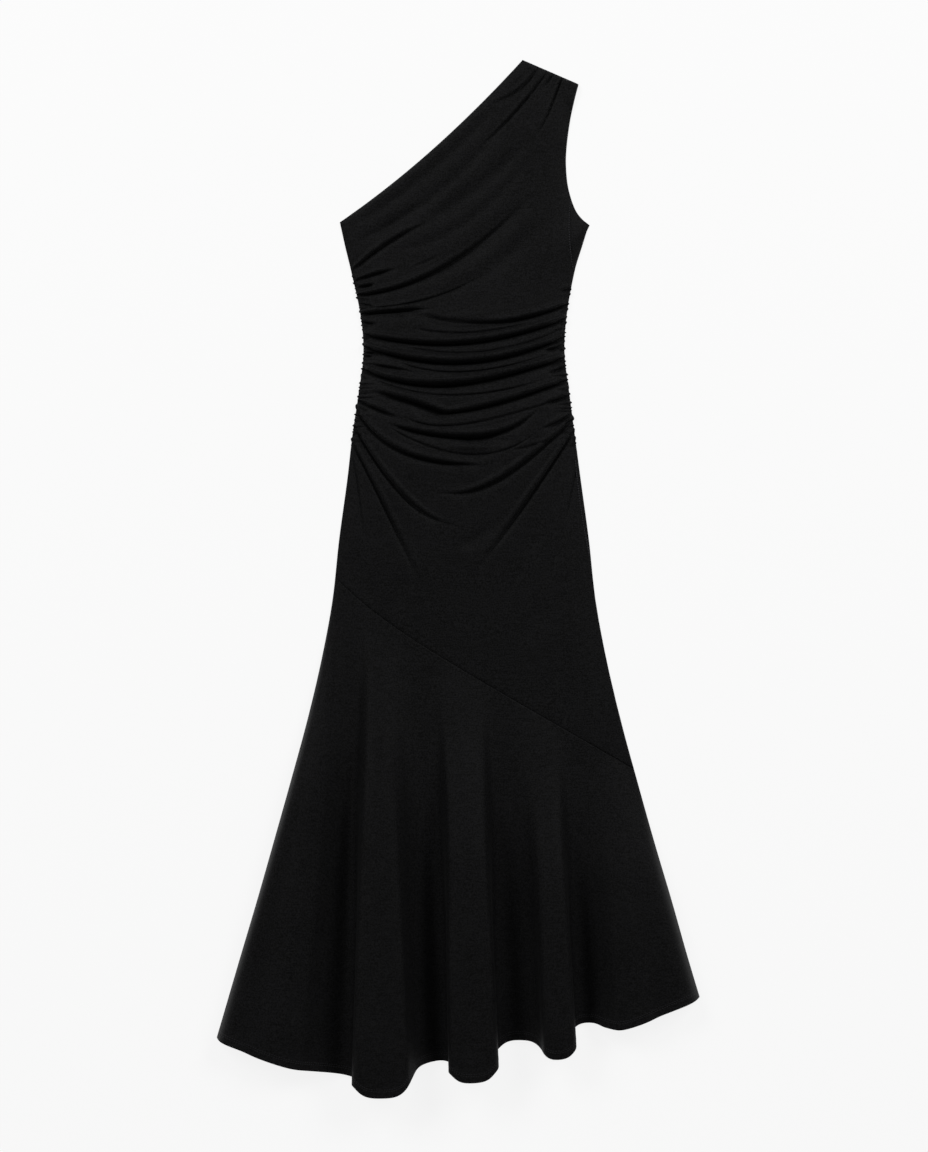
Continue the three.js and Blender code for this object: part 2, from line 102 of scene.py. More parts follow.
# The side edges, from the underarm to the hem's corners
SIDES = table_of("y left right", [
    (480, -161, 178), (448, -154, 168), (415, -146, 158), (354, -133, 147), (303, -129, 144),
    (252, -135, 150), (191, -144, 158), (130, -151, 166), (49, -162, 177), (-33, -171, 186),
    (-114, -186, 201), (-195, -205, 220), (-276, -227, 242), (-358, -250, 265), (-439, -273, 289),
    (-520, -297, 312), (-626, -328, 344),
])
# The armhole, from the shoulder to the right underarm
ARMHOLE = table_of("y x", [
    (667, 163), (648, 158), (615, 151), (571, 146), (540, 147),
    (518, 151), (496, 159), (484, 168), (476, 178),
])
SHOULDER = table_of("y x", [(700, 87), (667, 163)])

# Lines across the upper panels along which the cloth drapes, from the neckline to the slanting seam. left and
# right are heights on the edges, sag and low shape the line, rise is how far the front stands off its edges
# there, and strips is the share of the grid's rows down to the next line.
DRAPE = table_of("left right sag low rise strips", [
    (480, 700, 13, 0.50, 6.0, 16), (452, 683, 17, 0.50, 8.0, 18), (420, 667, 24, 0.50, 9.0, 16),
    (396, 615, 32, 0.50, 10.0, 14), (380, 560, 38, 0.50, 11.0, 14), (370, 510, 38, 0.50, 12.0, 12),
    (362, 476, 36, 0.50, 13.0, 12), (357, 420, 26, 0.50, 14.5, 14), (352, 371, 17, 0.50, 16.5, 18),
    (328, 350, 26, 0.50, 17.5, 14), (310, 322, 29, 0.50, 17.5, 22), (280, 296, 30, 0.50, 17.5, 20),
    (256, 269, 37, 0.45, 17.5, 20), (238, 241, 52, 0.50, 17.0, 20), (226, 229, 80, 0.50, 16.5, 18),
    (212, 212, 102, 0.50, 15.0, 18), (195, 190, 125, 0.50, 13.5, 16), (150, 100, 118, 0.50, 12.0, 12),
    (100, 0, 90, 0.45, 10.5, 8), (50, -130, 55, 0.40, 9.0, 6), (-1, -262, 16.5, 0.28, 8.0, 0),
])

# Folds run from (x0, y0) to (x1, y1) and hang under that chord by sag, lowest at low. depth and width are the
# trough's, and fade0 and fade1 are the shares of its length over which a fold dies out at its two ends.
FOLD_COLUMNS = "x0 y0 x1 y1 sag low depth width fade0 fade1"

# Thick folds, with a ridge over a trough
DEEP_FOLDS = table_of(FOLD_COLUMNS, [
    # pleats caught in the shoulder seam, and the long swag that they run into
    (34, 634, 108, 690, 11, 0.60, 2.2, 3.4, 0.8, 0),
    (22, 572, 119, 684, 6, 0.60, 3.0, 2.8, 0.7, 0),
    (104, 590, 140, 676, 3, 0.50, 3.0, 2.6, 0.6, 0),
    (113, 657, 128, 681, 0, 0.50, 1.6, 2.4, 0.8, 0),
    (149, 646, 150, 671, 0, 0.50, 1.2, 2.4, 0.8, 0),
    # from the left seam across the bust
    (-142, 416, -30, 480, -9, 0.50, 4.4, 4.2, 0, 0.8),
    (-138, 401, -78, 415, -2, 0.50, 3.6, 3.8, 0, 0.7),
    (-136, 391, -112, 395, 0, 0.50, 2.8, 3.5, 0, 0.6),
    (-136, 381, 113, 530, 33, 0.50, 4.6, 5.2, 0, 0.9),
    (-133, 355, -34, 360, -1, 0.50, 4.6, 5.6, 0, 0.6),
    # across the waist
    (-4, 342, 150, 370, 11, 0.50, 4.4, 5.2, 0.7, 0),
    (136, 385, 154, 388, 0, 0.50, 2.6, 4.0, 0.6, 0),
    (-130, 345, -109, 339, 0, 0.50, 2.4, 3.5, 0, 0.6),
    (-129, 328, 149, 351, 24.5, 0.50, 5.6, 5.8, 0, 0),
    (-127, 311, 141, 323, 28.5, 0.50, 5.8, 6.2, 0, 0),
    (-127, 302, -101, 301, 0, 0.50, 2.2, 3.5, 0, 0.6),
    (-127, 297, -114, 298, 0, 0.50, 1.8, 3.2, 0, 0.6),
    (113, 304, 143, 313, 1, 0.50, 3.0, 4.0, 0.5, 0),
    (-119, 286, -58, 274, -1, 0.50, 2.0, 3.4, 0.3, 0.6),
    (-127, 280, 144, 296, 28.5, 0.42, 5.8, 6.8, 0, 0),
    (121, 273, 146, 284, 0, 0.50, 2.8, 4.0, 0.6, 0),
    (-122, 250, -16, 219, -2, 0.50, 5.2, 6.8, 0.5, 0.06),
    (-24, 220, 148, 266, 7.5, 0.45, 4.8, 5.8, 0.08, 0),
    (-134, 237, -80, 212, 0, 0.50, 3.8, 4.2, 0, 0.5),
    (-96, 205, 113, 229, 31, 0.60, 4.6, 6.0, 0.2, 0.3),
    (113, 232, 152, 244, 0, 0.50, 2.8, 4.5, 0.5, 0),
    # cups and drag lines over the hip
    (-138, 225, 44, 148, 31, 0.36, 4.0, 5.4, 0, 0.45),
    (-37, 117, 157, 216, 34, 0.42, 3.8, 5.4, 0.5, 0),
    (110, 198, 155, 222, 3, 0.50, 2.2, 4.0, 0.5, 0),
    (14, -7, 155, 196, 4, 0.50, 3.6, 4.6, 0.6, 0),
    (-140, 201, 1, 68, 31, 0.52, 3.2, 4.8, 0, 0.55),
    (-142, 178, -37, -45, -6, 0.50, 2.8, 4.4, 0, 0.6),
])

# Fine creases just over the next thick fold
FINE_FOLDS = table_of(FOLD_COLUMNS, [
    (-70, 415, -18, 437, 1, 0.50, 1.5, 2.6, 0.4, 0.4),
    (-132, 369, -112, 364, 0, 0.50, 1.6, 2.8, 0, 0.6),
    (-126, 364, 41, 411, 13, 0.50, 1.9, 2.8, 0.15, 0.35),
    (-67, 337, 113, 347, 13, 0.45, 1.9, 2.8, 0.15, 0.3),
    (124, 327, 143, 337, 0, 0.50, 1.8, 3.0, 0.6, 0),
    (-74, 311, 143, 335, 20, 0.50, 1.9, 2.8, 0.1, 0.2),
    (-84, 290, 131, 303, 20, 0.45, 1.9, 2.8, 0.1, 0.3),
    (-113, 266, 119, 266, 22, 0.45, 1.9, 2.8, 0.05, 0.25),
    (-77, 217, 150, 243, 22, 0.35, 2.0, 2.8, 0.1, 0.1),
    (-94, 201, 107, 195, 34, 0.55, 2.0, 2.8, 0.1, 0.2),
    (64, 170, 155, 205, 8, 0.50, 1.6, 3.0, 0.3, 0.1),
    (-143, 157, -123, 7, -15, 0.45, 1.8, 3.2, 0, 0.4),
    (143, 65, 160, 144, 0, 0.50, 1.8, 3.2, 0.5, 0),
    (60, -37, 88, 19, 0, 0.50, 1.0, 4.0, 0.4, 0.4),
])

# Soft hollows with no crease
SOFT_FOLDS = table_of(FOLD_COLUMNS, [
    (-150, 470, 70, 655, 16, 0.50, 2.2, 9.0, 0.3, 0.3),
    (-146, 452, 84, 640, 30, 0.50, 2.6, 10.0, 0.2, 0.3),
    (-60, 470, 106, 600, 12, 0.50, 3.8, 13.0, 0.3, 0.3),
    (-90, 440, 118, 590, 34, 0.50, 1.9, 9.0, 0.2, 0.3),
    (-56, 404, 113, 530, 20, 0.50, 5.0, 14.0, 0.3, 0.4),
    (-50, 380, 124, 500, 30, 0.50, 2.4, 12.0, 0.3, 0.4),
    (-110, 462, -50, 505, 0, 0.50, 1.8, 7.0, 0.3, 0.3),
    (30, 410, 140, 500, 8, 0.50, 1.4, 16.0, 0.4, 0.4),
    (-64, 357, 66, 348, 11, 0.50, 6.0, 6.0, 0.3, 0.4),
    (-70, 236, 8, 232, 15, 0.50, 5.0, 8.0, 0.4, 0.4),
    (-75, 268, 20, 264, 8, 0.50, 4.0, 7.0, 0.4, 0.4),
    (-20, 172, 60, 176, 9, 0.50, 4.0, 9.0, 0.4, 0.4),
    (-20, 190, 76, 184, 3, 0.50, 6.0, 8.0, 0.4, 0.4),
    (-9, 39, 58, 80, 9, 0.50, 2.6, 11.0, 0.4, 0.4),
    (78, -108, 132, 0, 6, 0.50, 2.4, 18.0, 0.4, 0.4),
    (-150, 40, -120, -40, 0, 0.50, 2.0, 18.0, 0.3, 0.3),
    (-96, -60, -60, 20, 0, 0.50, 1.6, 16.0, 0.4, 0.4),
])

# The right side seam where it has rolled onto the front: a fine ridge, and a bead, painted light as a
# highlight, that bends left by sag
SEAM_LINES = table_of(FOLD_COLUMNS, [
    (152, 510, 156, 414, 4, 0.5, 1.3, 1.9, 0.1, 0.1),
    (158, 160, 178, 24, 2, 0.5, 1.1, 1.9, 0.1, 0.4),
])

# Grooves of the back's upper panel, whose other stretches rest on the surface
BACK_FOLDS = table_of(FOLD_COLUMNS, [
    (-125, 372, 20, 440, 16, 0.50, 1.4, 10, 0.1, 0.5),
    (-130, 340, 146, 356, 18, 0.50, 1.8, 10, 0.1, 0.1),
    (-128, 318, 60, 306, 14, 0.50, 1.5, 9, 0.1, 0.3),
    (-40, 284, 143, 312, 14, 0.50, 1.6, 9, 0.3, 0.1),
    (-126, 290, 144, 290, 26, 0.45, 2.0, 10, 0.1, 0.1),
    (-130, 262, 147, 258, 28, 0.55, 2.0, 10, 0.1, 0.1),
    (-134, 240, 30, 198, 14, 0.50, 1.7, 10, 0.1, 0.4),
    (-20, 182, 150, 226, 22, 0.40, 1.8, 10, 0.3, 0.1),
    (-136, 222, 60, 122, 24, 0.50, 1.8, 11, 0.1, 0.4),
])

# The flounce's waves at the hem: each crest or trough reaches from (x0, y0) to (x1, y1) and springs from
# seam0 to seam1 on the slanting seam. Its height is z at the share low of the way across, and its two ends
# are lift0 and lift1 higher. The hem hangs bow lower between its ends, and roll is how far the side that
# follows is turned over.
FLUTES = table_of("seam0 seam1 x0 y0 x1 y1 bow z low lift0 lift1 roll", [
    (-167, -167, -328, -626, -328, -626, 0, 2.7, 0.5, 0, 0, 0),
    (-162, -159, -288, -641, -216, -665, 2, 38, 0.5, -5, -4, 0),
    (-151, -130, -201, -668, -144, -678, 0, 3.2, 0.75, 20, 5, 34),
    (-121, -94, -140, -684, -67, -684, 15, 56, 0.4, -3, -4, 0),
    (-78, -32, -56, -664, -11, -659, -4, 3.2, 0.70, 24, 5, 44),
    (-20, 30, -10, -667, 50, -664, 13, 56, 0.5, -3, -3, 44),
    (40, 86, 54, -641, 111, -637, -10, 3.2, 0.35, 5, 22, 0),
    (98, 132, 115, -642, 155, -638, 8, 52, 0.6, -6, -3, 42),
    (143, 180, 157, -612, 194, -609, -5, 3.2, 0.4, 5, 16, 0),
    (194, 214, 215, -612, 268, -594, 2, 38, 0.5, -4, -5, 0),
    (238, 238, 328, -571, 328, -571, 0, 2.7, 0.5, 0, 0, 0),
])
# Shallow ripples of the back's flounce, in the hollows of the front's crests
BACK_RIPPLES = table_of(FOLD_COLUMNS, [
    (-112, -640, -106, -200, 0, 0.5, 5.0, 16, 0, 0.6),
    (14, -620, 20, -260, 0, 0.5, 5.0, 14, 0, 0.6),
    (128, -610, 136, -320, 0, 0.5, 4.0, 11, 0, 0.6),
])
BACK_HEM = table_of("x y", [
    (-328, -626), (-240, -650), (-140, -658), (-20, -645), (80, -618), (190, -598), (328, -571),
])

# How fine the grids and lines are
UPPER_COLUMNS = 126
UPPER_DENSITY = 1.25  # rows to one of DRAPE's strips
SEAM_ROWS = np.array((0.8, 0.93))  # two more rows in the last strip, close to the slanting seam
BACK_COLUMNS = 110
BACK_DENSITY = 0.5
BACK_ROWS = 110
FLOUNCE_ROWS = 136
COLUMN_CROWDING = 0.1  # how much closer together columns stand at the side edges
ROW_CROWDING = 0.13  # and rows at the flounce's seam and hem
FOLD_STEPS = 18
SEAM_STEPS = 24
FLUTE_STEPS = 12
SIDE_STEPS = 12
HEM_STATIONS = 270

# How folds are shaped
FOLD_REACH = 4  # how many of its widths a fold reaches to each side
DEEPER = 2.6  # the thick folds' depth, as a share of the table's
ENDS_NARROW = 0.5  # a fold's width at its ends, as a share of its width in the middle
ENDS_BLUNT = 0.7  # under 1, a fold widens fast from its ends
TROUGH_CORE = 0.55  # half the width of a thick fold's bottom, in the fold's widths
TROUGH_SQUARE = 4  # how flat that bottom is
DEEP_WALL = (0.2, 0.8)  # the share of the trough's side under the ridge that is a slope, and its spread
DEEP_CLIMB = (0.3, 1.3)  # the same of its other side
SIDE_FADE = (-5.0, 9.0)  # folds deepen over this stretch in from a side edge
LEAN_FADE = 20.0  # and lean more over this one
RISE_LEFT = 0.02  # the least that a trough leaves of the front's rise
RISE_SHARP = 1.4  # how sharply a trough stops there
BACK_GROOVE = 0.25  # the most that a groove of the back may be, as a share of the front's rise over it
GROOVE_START = 0.3  # the height that is taken off the back's grooves, so that their sides end on the surface
RIPPLE_START = 0.4  # the same of the back flounce's ripples

# How edges and waves are shaped
EDGE_SQUARE = 6  # how square the front's rise is towards its side edges
HEM_SQUARE = 4  # how square the hem hangs between a wave's ends
WAVE_CURVE = 1.3  # how the hem's height curves across a wave
HEM_SOFT = 2  # stations over which the hem's corners are rounded off
WAVE_SOFT = 11  # the same where the waves begin, near the seam
SOFT_REACH = 3  # how many times as many stations count in that rounding
EDGE_CLIMB = 8  # how steeply the flounce rises off the back at its side edges
FULL_HEIGHT = 0.52  # the share of the way down the flounce at which its waves have grown to their height
EARLY = 0.4  # how much of their growth starts at once, below the seam
CRISP = (0.12, 0.77)  # the shares of the way down between which they turn from soft to crisp
LEFT_BEND = 3  # the flute at which the left side's bend has died out
RIGHT_BEND = 7  # and the right side's


def curve(xs, ys, at):
    """A smooth curve through points, at the places asked for."""
    if xs[0] > xs[-1]:
        xs, ys = xs[::-1], ys[::-1]
    slopes = np.empty_like(ys)
    slopes[1:-1] = (ys[2:] - ys[:-2]) / (xs[2:] - xs[:-2])
    slopes[0] = (ys[1] - ys[0]) / (xs[1] - xs[0])
    slopes[-1] = (ys[-1] - ys[-2]) / (xs[-1] - xs[-2])
    at = np.clip(at, xs[0], xs[-1])
    k = np.clip(np.searchsorted(xs, at, side="right"), 1, len(xs) - 1)
    span = xs[k] - xs[k - 1]
    t = (at - xs[k - 1]) / span
    u = 1 - t
    return (
        ys[k - 1] * (1 + 2 * t) * u * u
        + ys[k] * (1 + 2 * u) * t * t
        + span * t * u * (slopes[k - 1] * u - slopes[k] * t)
    )


def smooth(t):
    t = np.clip(t, 0, 1)
    return t * t * (3 - 2 * t)


def ramp(value, start, end):
    """0 up to start, 1 from end on, and a smooth rise between them."""
    return smooth((value - start) / (end - start))


def mix(a, b, t):
    return a + (b - a) * t


def bell(t, spread):
    return np.exp(-((t / spread) ** 2))


def bells(rows):
    """A fold's cross-section: bells added up, each with its height, its place below the fold's line and its
    spread, both in the fold's widths."""
    return lambda t: sum(height * bell(t - place, spread) for height, place, spread in rows)


def left_edge(y):
    return curve(SIDES["y"], SIDES["left"], y)


def right_edge(y):
    side = curve(SIDES["y"], SIDES["right"], y)
    armhole = curve(ARMHOLE["y"], ARMHOLE["x"], y)
    shoulder = np.interp(-y, -SHOULDER["y"], SHOULDER["x"])
    return np.where(y >= SHOULDER["y"][1], shoulder, np.where(y >= ARMHOLE["y"][-1], armhole, side))


def hang(u, low):
    """How far a hanging line has dropped at share u of its length: 0 at both ends and 1 at its lowest."""
    u = np.clip(u, 0, 1)
    warped = u * (1 - low) / (u * (1 - 2 * low) + low)
    return 4 * warped * (1 - warped)


def row_of(table, k):
    """Row k of a table, by its columns' names."""
    return {name: column[k] for name, column in table.items()}


def beside_fold(px, py, x, y):
    """For points near a fold's line: the share of its length that they are beside, how far below it they are
    (under 0 above it), and the direction down across it."""
    best = np.full(x.shape, np.inf)
    share = np.zeros(x.shape)
    signed = np.zeros(x.shape)
    below = np.zeros(x.shape + (2,))
    for i in range(FOLD_STEPS):
        ax, ay = px[i + 1] - px[i], py[i + 1] - py[i]
        wx, wy = x - px[i], y - py[i]
        s = np.clip((wx * ax + wy * ay) / (ax * ax + ay * ay), 0, 1)
        distance = np.hypot(wx - s * ax, wy - s * ay)
        closer = distance < best
        best = np.where(closer, distance, best)
        share = np.where(closer, (i + s) / FOLD_STEPS, share)
        signed = np.where(closer, np.where(ax * wy - ay * wx > 0, -distance, distance), signed)
        below[closer] = np.array((ay, -ax)) / math.hypot(ax, ay)
    return share, signed, below


def fold_sum(folds, section, x, y, lean=None):
    """The folds of a table added up at the points (x, y), as offsets along x, y and z. section turns a
    distance in widths into a height, and lean into a shift across the fold, which tips its ridge over its
    trough."""
    total = np.zeros(x.shape + (3,))
    t = np.arange(FOLD_STEPS + 1) / FOLD_STEPS
    for k in range(len(folds["x0"])):
        f = row_of(folds, k)
        px = mix(f["x0"], f["x1"], t)
        py = mix(f["y0"], f["y1"], t) - f["sag"] * hang(t, f["low"])
        reach = FOLD_REACH * f["width"]
        near = (x > px.min() - reach) & (x < px.max() + reach)
        near &= (y > py.min() - reach) & (y < py.max() + reach)
        share, signed, below = beside_fold(px, py, x[near], y[near])
        strength = f["depth"]
        if f["fade0"]:
            strength = strength * smooth(share / f["fade0"])
        if f["fade1"]:
            strength = strength * smooth((1 - share) / f["fade1"])
        apart = signed / (f["width"] * mix(ENDS_NARROW, 1, np.sin(np.pi * share) ** ENDS_BLUNT))
        total[near, 2] += strength * section(apart)
        if lean:
            total[near, :2] += (strength * lean(apart))[:, None] * below
    return total


# Cross-sections of the folds, and how far they lean
DEEP_RIDGE = bells(((0.3, -1.1, 0.6),))
DEEP_LEAN = bells(((0.18, -0.6, 0.4), (-0.1, 0.1, 0.4)))
FINE_SECTION = bells(((0.2, -1.0, 0.7), (-1.8, 0.0, 0.5)))
FINE_LEAN = bells(((0.3, -0.6, 0.5),))
SOFT_SECTION = bells(((-1.0, 0.0, 0.8),))
SEAM_SECTION = bells(((1.0, 0.0, 0.6), (-0.5, 1.3, 0.6)))
BACK_SECTION = bells(((1.0, 0.0, 0.5),))


def trough(t, share, spread):
    """A trough with a flat bottom, of which so large a share is a bell of that spread."""
    return mix(np.exp(-((t / TROUGH_CORE) ** TROUGH_SQUARE)), bell(t, spread), share)


def deep_section(t):
    """A ridge, a steep wall down into a trough, and a slow climb out of it."""
    return DEEP_RIDGE(t) - np.where(t < 0, trough(t, *DEEP_WALL), trough(t, *DEEP_CLIMB))


def edge_round(u):
    """The share of the front's rise that is left at share u of the way across."""
    return 1 - np.abs(2 * u - 1) ** EDGE_SQUARE


def roll_down(distance, reach, drop):
    """How far the cloth has rolled down at a distance from its edge."""
    return drop * np.clip(1 - distance / reach, 0, 1) ** 2


def crowded(count, crowding):
    """Shares from 0 to 1 that stand closer together towards both ends."""
    t = np.arange(count + 1) / count
    return t - crowding * np.sin(2 * np.pi * t)


def drape_rows(density):
    """The rows of an upper panel's grid, as places between the drape lines."""
    passed = np.concatenate(([0], np.cumsum(DRAPE["strips"][:-1])))
    count = int(round(passed[-1] * density))
    rows = np.interp(np.linspace(0, passed[-1], count + 1), passed, np.arange(len(passed)))
    return np.concatenate((rows[:-1], mix(rows[-2], rows[-1], SEAM_ROWS), rows[-1:]))


def upper_places(rows, shares):
    """x, y and the front's rise for a grid of an upper panel."""
    steps = np.arange(len(DRAPE["left"]), dtype=float)
    line = {name: curve(steps, column, rows)[:, None] for name, column in DRAPE.items()}
    u = shares[None, :]
    x = mix(left_edge(line["left"]), right_edge(line["right"]), u)
    y = mix(line["left"], line["right"], u) - line["sag"] * hang(u, line["low"])
    return x, y, line["rise"] * edge_round(u)


def waves(y, rows, side):
    """Sine waves along a side seam, added up."""
    return sum(height * np.sin(y * pace + shift * side) for height, pace, shift in rows)


def gathers(u, y, side):
    """Small uneven gathers at a side seam: side is -1 on the left and 1 on the right."""
    ruched = smooth((y - RUCHED_FROM) / RUCHED_FADE) * smooth((RUCHED_TO[side] - y) / RUCHED_FADE)
    near = np.clip(1 - np.abs(u - (side > 0)) / GATHER_REACH, 0, 1) ** GATHER_FADE
    uneven = waves(y + waves(y, GATHER_WAVER, side), GATHER_WAVES, side)
    return GATHER_HEIGHT * ruched * near * uneven


def front_upper_grid():
    u = crowded(UPPER_COLUMNS, COLUMN_CROWDING)
    x, y, rise = upper_places(drape_rows(UPPER_DENSITY), u)
    from_side = np.minimum(x - x[:, :1], x[:, -1:] - x)
    from_neck = (y[:1, :] - y) * NECK_SLANT
    from_seam = (y - y[-1:, :]) * SEAM_SLANT
    caught = ramp(y, *SHOULDER_CATCH)
    rise = np.maximum(rise, SHOULDER_RISE * caught)
    folds = fold_sum(DEEP_FOLDS, deep_section, x, y, DEEP_LEAN) * DEEPER
    folds += fold_sum(FINE_FOLDS, FINE_SECTION, x, y, FINE_LEAN)
    folds += fold_sum(SOFT_FOLDS, SOFT_SECTION, x, y)
    folds[..., 2] *= np.maximum(caught, ramp(from_side, *SIDE_FADE))
    folds[..., :2] *= ramp(from_side, 0, LEAN_FADE)[..., None]
    left_over = RISE_LEFT * rise
    lift = left_over + np.logaddexp(0, (rise + folds[..., 2] - left_over) * RISE_SHARP) / RISE_SHARP
    pull = gathers(u, y, -1) + gathers(u, y, 1)
    seam_line = fold_sum(SEAM_LINES, SEAM_SECTION, x, y)[..., 2]
    at_edge = roll_down(np.minimum(from_side, from_neck), EDGE_ROLL, EDGE_DROP + EDGE_CURL * lift)
    z = FRONT_EDGE + lift + np.maximum(pull, GATHER_LEAST) + seam_line
    z -= np.maximum(at_edge, roll_down(from_seam, SEAM_ROLL, SEAM_DROP))
    x = x + folds[..., 0] + GATHER_ASIDE * pull * np.where(u < 0.5, -1, 1)
    return np.stack((x, y + folds[..., 1], z), -1)


def back_upper_grid():
    x, y, rise = upper_places(drape_rows(BACK_DENSITY), crowded(BACK_COLUMNS, COLUMN_CROWDING))
    groove = fold_sum(BACK_FOLDS, BACK_SECTION, x, y)[..., 2]
    z = CLOTH + np.clip(groove - GROOVE_START, 0, BACK_GROOVE * rise)
    return np.stack((x, y, z), -1)


def seam_height(x):
    """The slanting seam's y at x, and the share of the front's rise that is left there."""
    left, right = DRAPE["left"][-1], DRAPE["right"][-1]
    x0, x1 = left_edge(left), right_edge(np.array(right))
    u = np.clip((x - x0) / (x1 - x0), 0, 1)
    return mix(left, right, u) - DRAPE["sag"][-1] * hang(u, DRAPE["low"][-1]), edge_round(u)


def wave_height(flute, s):
    """The hem's height at share s of the way across a crest or trough."""
    low = flute["low"]
    if s < low:
        return flute["z"] + flute["lift0"] * (1 - s / low) ** WAVE_CURVE
    return flute["z"] + flute["lift1"] * ((s - low) / (1 - low)) ** WAVE_CURVE


def side_climb(s, k):
    """How far the hem has climbed at share s of the way from crest or trough k to the next one."""
    if k == 0:
        return 1 - (1 - s) ** EDGE_CLIMB
    if k == len(FLUTES["x0"]) - 2:
        return s ** EDGE_CLIMB
    return s


def across_flute(f):
    """The hem's corners across a crest or trough: seam, x, y, z and roll."""
    corners = []
    for s in np.arange(FLUTE_STEPS) / FLUTE_STEPS:
        y = mix(f["y0"], f["y1"], s) - f["bow"] * (1 - abs(2 * s - 1) ** HEM_SQUARE)
        corners.append((mix(f["seam0"], f["seam1"], s), mix(f["x0"], f["x1"], s), y, wave_height(f, s), 0.0))
    return corners


def over_side(f, g, k):
    """The hem's corners over the side between crest or trough k and the next one."""
    corners = []
    for s in np.arange(SIDE_STEPS) / SIDE_STEPS:
        y = mix(f["y1"], g["y0"], s)
        z = mix(wave_height(f, 1), wave_height(g, 0), side_climb(s, k))
        roll = f["roll"] * s * (1 - s) * (1 - 2 * s)
        corners.append((mix(f["seam1"], g["seam0"], s), mix(f["x1"], g["x0"], s), y, z, roll))
    return corners


def hem_corners():
    """The hem from left to right: across each crest or trough, then over its side to the next."""
    flutes = [row_of(FLUTES, k) for k in range(len(FLUTES["x0"]))]
    corners = over_side(flutes[0], flutes[1], 0)
    for k in range(1, len(flutes) - 1):
        corners += across_flute(flutes[k]) + over_side(flutes[k], flutes[k + 1], k)
    last = flutes[-1]
    corners.append((last["seam1"], last["x1"], last["y1"], last["z"], 0.0))
    return table_of("seam x y z roll", corners)


def softened(values, stations):
    """Evenly spaced values blended over so many stations, with both ends left where they are."""
    reach = SOFT_REACH * stations
    weights = bell(np.arange(-reach, reach + 1), stations)
    before = 2 * values[0] - values[reach:0:-1]
    after = 2 * values[-1] - values[-2:-reach - 2:-1]
    return np.convolve(np.concatenate((before, values, after)), weights / weights.sum(), "valid")


def hem_stations():
    """The hem's corners turned into evenly spaced stations on a soft curve, and on a softer one, whose names
    start with soft, for the waves near the seam."""
    corners = hem_corners()
    path = np.stack((corners["x"], corners["y"], corners["z"]), -1)
    run = np.concatenate(([0], np.cumsum(np.linalg.norm(np.diff(path, axis=0), axis=1))))
    even = np.linspace(0, run[-1], HEM_STATIONS)
    stations = {name: softened(np.interp(even, run, column), HEM_SOFT) for name, column in corners.items()}
    for name in ("x", "y", "z"):
        stations["soft_" + name] = softened(stations[name], WAVE_SOFT)
    return stations


def side_bend(side, t):
    """How far a side edge bends away from a straight line, at share t from the seam to the hem's corner."""
    k = 0 if side == "left" else -1
    top = seam_height(FLUTES["seam0"][k])[0]
    y = mix(top, FLUTES["y0"][k], t)
    bend = curve(SIDES["y"], SIDES[side], y) - mix(FLUTES["seam0"][k], FLUTES["x0"][k], t)
    return np.where(t > 0, bend, 0)


def bend_share(x, inner, outer):
    """How much of a side edge's bend reaches x: none at inner, all of it at outer."""
    return np.clip((x - inner) / (outer - inner), 0, 1)


def flounce_points(stations, t):
    """Points of the front flounce at share t of the way down each station's ray."""
    top, rounded = seam_height(stations["seam"])
    crisp = ramp(t, *CRISP)
    end = {name: mix(stations["soft_" + name], stations[name], crisp) for name in ("x", "y", "z")}
    y = mix(top, end["y"], t)
    left = bend_share(stations["x"], FLUTES["x0"][LEFT_BEND], FLUTES["x0"][0])
    right = bend_share(stations["x"], FLUTES["x1"][RIGHT_BEND], FLUTES["x0"][-1])
    bend = left * side_bend("left", t) + right * side_bend("right", t)
    x = mix(stations["seam"], end["x"], t) + stations["roll"] * t * crisp ** 2 + bend
    seam_z = FRONT_EDGE + DRAPE["rise"][-1] * rounded
    swelling = np.clip(t / FULL_HEIGHT, 0, 1)
    z = mix(seam_z, end["z"], mix(smooth(swelling), 1 - (1 - swelling) ** 2, EARLY))
    from_seam = (top - y) * SEAM_SLANT
    from_side = np.minimum(x - x[..., :1], x[..., -1:] - x)
    at_edge = roll_down(from_side, EDGE_ROLL, EDGE_DROP)
    z = z - np.maximum(at_edge, roll_down(from_seam, SEAM_ROLL, SEAM_DROP))
    return np.stack(np.broadcast_arrays(x, y, z), -1)


def front_flounce_grid():
    return flounce_points(hem_stations(), crowded(FLOUNCE_ROWS, ROW_CROWDING)[:, None])


def back_flounce_grid():
    u = np.linspace(0, 1, BACK_COLUMNS + 1)[None, :]
    t = crowded(BACK_ROWS, ROW_CROWDING)[:, None]
    hem_x = mix(FLUTES["x0"][0], FLUTES["x0"][-1], u)
    seam_x = mix(FLUTES["seam0"][0], FLUTES["seam0"][-1], u)
    bend = np.clip(1 - 2 * u, 0, 1) * side_bend("left", t) + np.clip(2 * u - 1, 0, 1) * side_bend("right", t)
    x = mix(seam_x, hem_x, t) + bend
    y = mix(seam_height(seam_x)[0], curve(BACK_HEM["x"], BACK_HEM["y"], hem_x), t)
    ripple = fold_sum(BACK_RIPPLES, BACK_SECTION, x, y)[..., 2]
    return np.stack((x, y, CLOTH + np.maximum(0, ripple - RIPPLE_START)), -1)


def smooth_piece(name, bm, material):
    """A bmesh made into an object of the scene, shaded smooth."""
    for face in bm.faces:
        face.smooth = True
    mesh = bpy.data.meshes.new(name)
    bm.to_mesh(mesh)
    bm.free()
    mesh.materials.append(material)
    piece = bpy.data.objects.new(name, mesh)
    bpy.context.scene.collection.objects.link(piece)
    return piece


